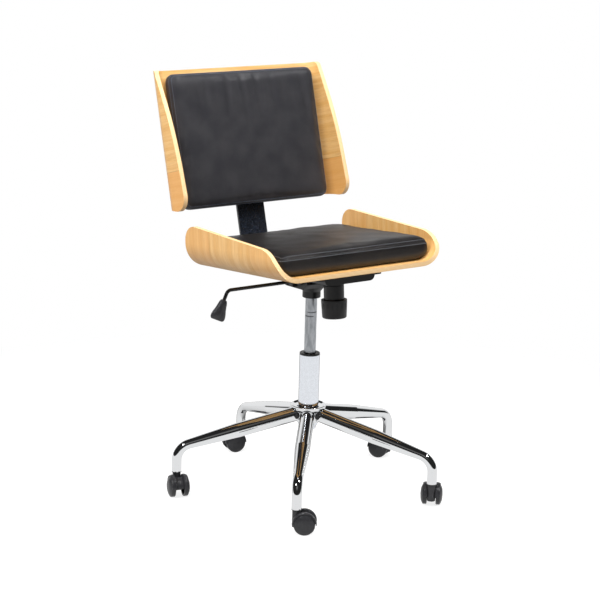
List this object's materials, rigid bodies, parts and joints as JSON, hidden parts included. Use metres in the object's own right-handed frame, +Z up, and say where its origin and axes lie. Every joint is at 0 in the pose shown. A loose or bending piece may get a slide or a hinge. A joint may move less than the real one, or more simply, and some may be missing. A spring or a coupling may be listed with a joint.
{
  "type": "bankers swivel chair",
  "caption": "Swivel task chair with bent-ply seat and back shells, black leather cushions, gas lift, tilt mechanism and a chrome star base on twin-wheel casters.",
  "frame": {"origin": "on the floor on the axis of the gas lift column", "axes": "+Z up along the column, -Y the way the sitter faces, +X to the sitter's left"},
  "size_m": [0.6737, 0.6571, 1.0012],
  "materials": {
    "chrome": "polished",
    "column_chrome": "polished",
    "cylinder_steel": "satin",
    "bare_steel": "satin",
    "black_steel": "semi-gloss",
    "bar_black": "gloss",
    "black_plastic": "matte",
    "bush_plastic": "matte",
    "ply_oak": "satin lacquer",
    "board_ply": "raw",
    "leather_black": "semi-matte",
    "bolt_black": "satin"
  },
  "bodies": {
    "base": {"base_hub": "chrome", "hub_saucer": "chrome", "hub_plugs": "black_plastic", "caster_sockets": "black_plastic", "column_tube": "column_chrome", "column_bush": "bush_plastic", "thrust_bearing": "bare_steel", "base_leg_1": "chrome", "base_leg_2": "chrome", "base_leg_3": "chrome", "base_leg_4": "chrome", "base_leg_5": "chrome"},
    "piston": {"piston_rod": "bare_steel", "rod_clip": "bare_steel"},
    "mechanism": {"gas_cylinder": "cylinder_steel", "tilt_housing": "black_steel", "tilt_pivot_pin": "bare_steel", "spring_sleeve": "black_steel", "tension_spring": "bare_steel"},
    "button": {"release_button": "bare_steel"},
    "bolt": {"tension_bolt": "bare_steel"},
    "knob": {"tension_knob": "black_plastic"},
    "lever_pivot": {"lever_bush": "black_plastic"},
    "lever": {"lever_rod": "black_steel", "lever_grip": "black_plastic"},
    "seat": {"seat_plate": "black_steel", "seat_bolts": "bolt_black", "seat_shell": "ply_oak", "seat_cushion": "leather_black", "seat_cushion_board": "board_ply", "back_bar": "bar_black", "back_shell": "ply_oak", "back_cushion": "leather_black", "back_cushion_board": "board_ply", "back_bolts": "bolt_black"},
    "caster_1": {"caster_hood_1": "black_plastic", "caster_stem_1": "bare_steel", "caster_axle_1": "bare_steel"},
    "wheel_1a": {"caster_wheel_1a": "black_plastic"},
    "wheel_1b": {"caster_wheel_1b": "black_plastic"},
    "caster_2": {"caster_hood_2": "black_plastic", "caster_stem_2": "bare_steel", "caster_axle_2": "bare_steel"},
    "wheel_2a": {"caster_wheel_2a": "black_plastic"},
    "wheel_2b": {"caster_wheel_2b": "black_plastic"},
    "caster_3": {"caster_hood_3": "black_plastic", "caster_stem_3": "bare_steel", "caster_axle_3": "bare_steel"},
    "wheel_3a": {"caster_wheel_3a": "black_plastic"},
    "wheel_3b": {"caster_wheel_3b": "black_plastic"},
    "caster_4": {"caster_hood_4": "black_plastic", "caster_stem_4": "bare_steel", "caster_axle_4": "bare_steel"},
    "wheel_4a": {"caster_wheel_4a": "black_plastic"},
    "wheel_4b": {"caster_wheel_4b": "black_plastic"},
    "caster_5": {"caster_hood_5": "black_plastic", "caster_stem_5": "bare_steel", "caster_axle_5": "bare_steel"},
    "wheel_5a": {"caster_wheel_5a": "black_plastic"},
    "wheel_5b": {"caster_wheel_5b": "black_plastic"}
  },
  "joints": [
    {"name": "seat_swivel", "type": "hinge", "parent": "base", "child": "piston", "pos_m": [0, 0, 0.16], "axis": [0, 0, 1], "continuous": true},
    {"name": "gas_lift", "type": "slide", "parent": "piston", "child": "mechanism", "axis": [0, 0, 1], "range_m": [-0.115, 0]},
    {"name": "seat_tilt", "type": "hinge", "parent": "mechanism", "child": "seat", "pos_m": [0, -0.02717, 0.53598], "axis": [-1, 0, 0], "range_deg": [0, 12], "stiffness_Nm_per_rad": 100, "springref_deg": -20.05},
    {"name": "tension_travel", "type": "slide", "parent": "mechanism", "child": "bolt", "axis": [0, 0.0872, 0.9962], "range_m": [0, 0.0127], "deforming": ["tension_spring"]},
    {"name": "knob_turn", "type": "hinge", "parent": "bolt", "child": "knob", "pos_m": [0, -0.09252, 0.47745], "axis": [0, 0.0872, 0.9962], "range_deg": [-720, 720]},
    {"name": "lever_lift", "type": "hinge", "parent": "mechanism", "child": "lever_pivot", "pos_m": [-0.058, 0, 0.5265], "axis": [0, 1, 0], "range_deg": [0, 4], "stiffness_Nm_per_rad": 30, "springref_deg": -2.86},
    {"name": "lever_pull", "type": "slide", "parent": "lever_pivot", "child": "lever", "axis": [-1, 0, 0], "range_m": [0, 0.012]},
    {"name": "button_press", "type": "slide", "parent": "mechanism", "child": "button", "axis": [0, 0, -1], "range_m": [0, 0.004]},
    {"name": "caster_swivel_1", "type": "hinge", "parent": "base", "child": "caster_1", "pos_m": [-0.20847, -0.24933, 0.06], "axis": [0, 0, 1], "continuous": true},
    {"name": "wheel_spin_1a", "type": "hinge", "parent": "caster_1", "child": "wheel_1a", "pos_m": [-0.1931, -0.2605, 0.025], "axis": [0.5878, 0.809, 0], "continuous": true},
    {"name": "wheel_spin_1b", "type": "hinge", "parent": "caster_1", "child": "wheel_1b", "pos_m": [-0.1931, -0.2605, 0.025], "axis": [0.5878, 0.809, 0], "continuous": true},
    {"name": "caster_swivel_2", "type": "hinge", "parent": "base", "child": "caster_2", "pos_m": [0.1727, -0.27531, 0.06], "axis": [0, 0, 1], "continuous": true},
    {"name": "wheel_spin_2a", "type": "hinge", "parent": "caster_2", "child": "wheel_2a", "pos_m": [0.18542, -0.2612, 0.025], "axis": [-0.7431, 0.6691, 0], "continuous": true},
    {"name": "wheel_spin_2b", "type": "hinge", "parent": "caster_2", "child": "wheel_2b", "pos_m": [0.18542, -0.2612, 0.025], "axis": [-0.7431, 0.6691, 0], "continuous": true},
    {"name": "caster_swivel_3", "type": "hinge", "parent": "base", "child": "caster_3", "pos_m": [0.31521, 0.07917, 0.06], "axis": [0, 0, 1], "continuous": true},
    {"name": "wheel_spin_3a", "type": "hinge", "parent": "caster_3", "child": "wheel_3a", "pos_m": [0.30571, 0.09563, 0.025], "axis": [-0.866, -0.5, 0], "continuous": true},
    {"name": "wheel_spin_3b", "type": "hinge", "parent": "caster_3", "child": "wheel_3b", "pos_m": [0.30571, 0.09563, 0.025], "axis": [-0.866, -0.5, 0], "continuous": true},
    {"name": "caster_swivel_4", "type": "hinge", "parent": "base", "child": "caster_4", "pos_m": [0.0221, 0.32425, 0.06], "axis": [0, 0, 1], "continuous": true},
    {"name": "wheel_spin_4a", "type": "hinge", "parent": "caster_4", "child": "wheel_4a", "pos_m": [0.00352, 0.3282, 0.025], "axis": [-0.2079, -0.9781, 0], "continuous": true},
    {"name": "wheel_spin_4b", "type": "hinge", "parent": "caster_4", "child": "wheel_4b", "pos_m": [0.00352, 0.3282, 0.025], "axis": [-0.2079, -0.9781, 0], "continuous": true},
    {"name": "caster_swivel_5", "type": "hinge", "parent": "base", "child": "caster_5", "pos_m": [-0.30155, 0.12122, 0.06], "axis": [0, 0, 1], "continuous": true},
    {"name": "wheel_spin_5a", "type": "hinge", "parent": "caster_5", "child": "wheel_5a", "pos_m": [-0.30742, 0.10315, 0.025], "axis": [0.9511, -0.309, 0], "continuous": true},
    {"name": "wheel_spin_5b", "type": "hinge", "parent": "caster_5", "child": "wheel_5b", "pos_m": [-0.30742, 0.10315, 0.025], "axis": [0.9511, -0.309, 0], "continuous": true}
  ],
  "couplings": [
    {"joint": "tension_travel", "follows": "seat_tilt", "m_per_rad": 0.06},
    {"joint": "button_press", "follows": "lever_lift", "m_per_rad": 0.054}
  ]
}
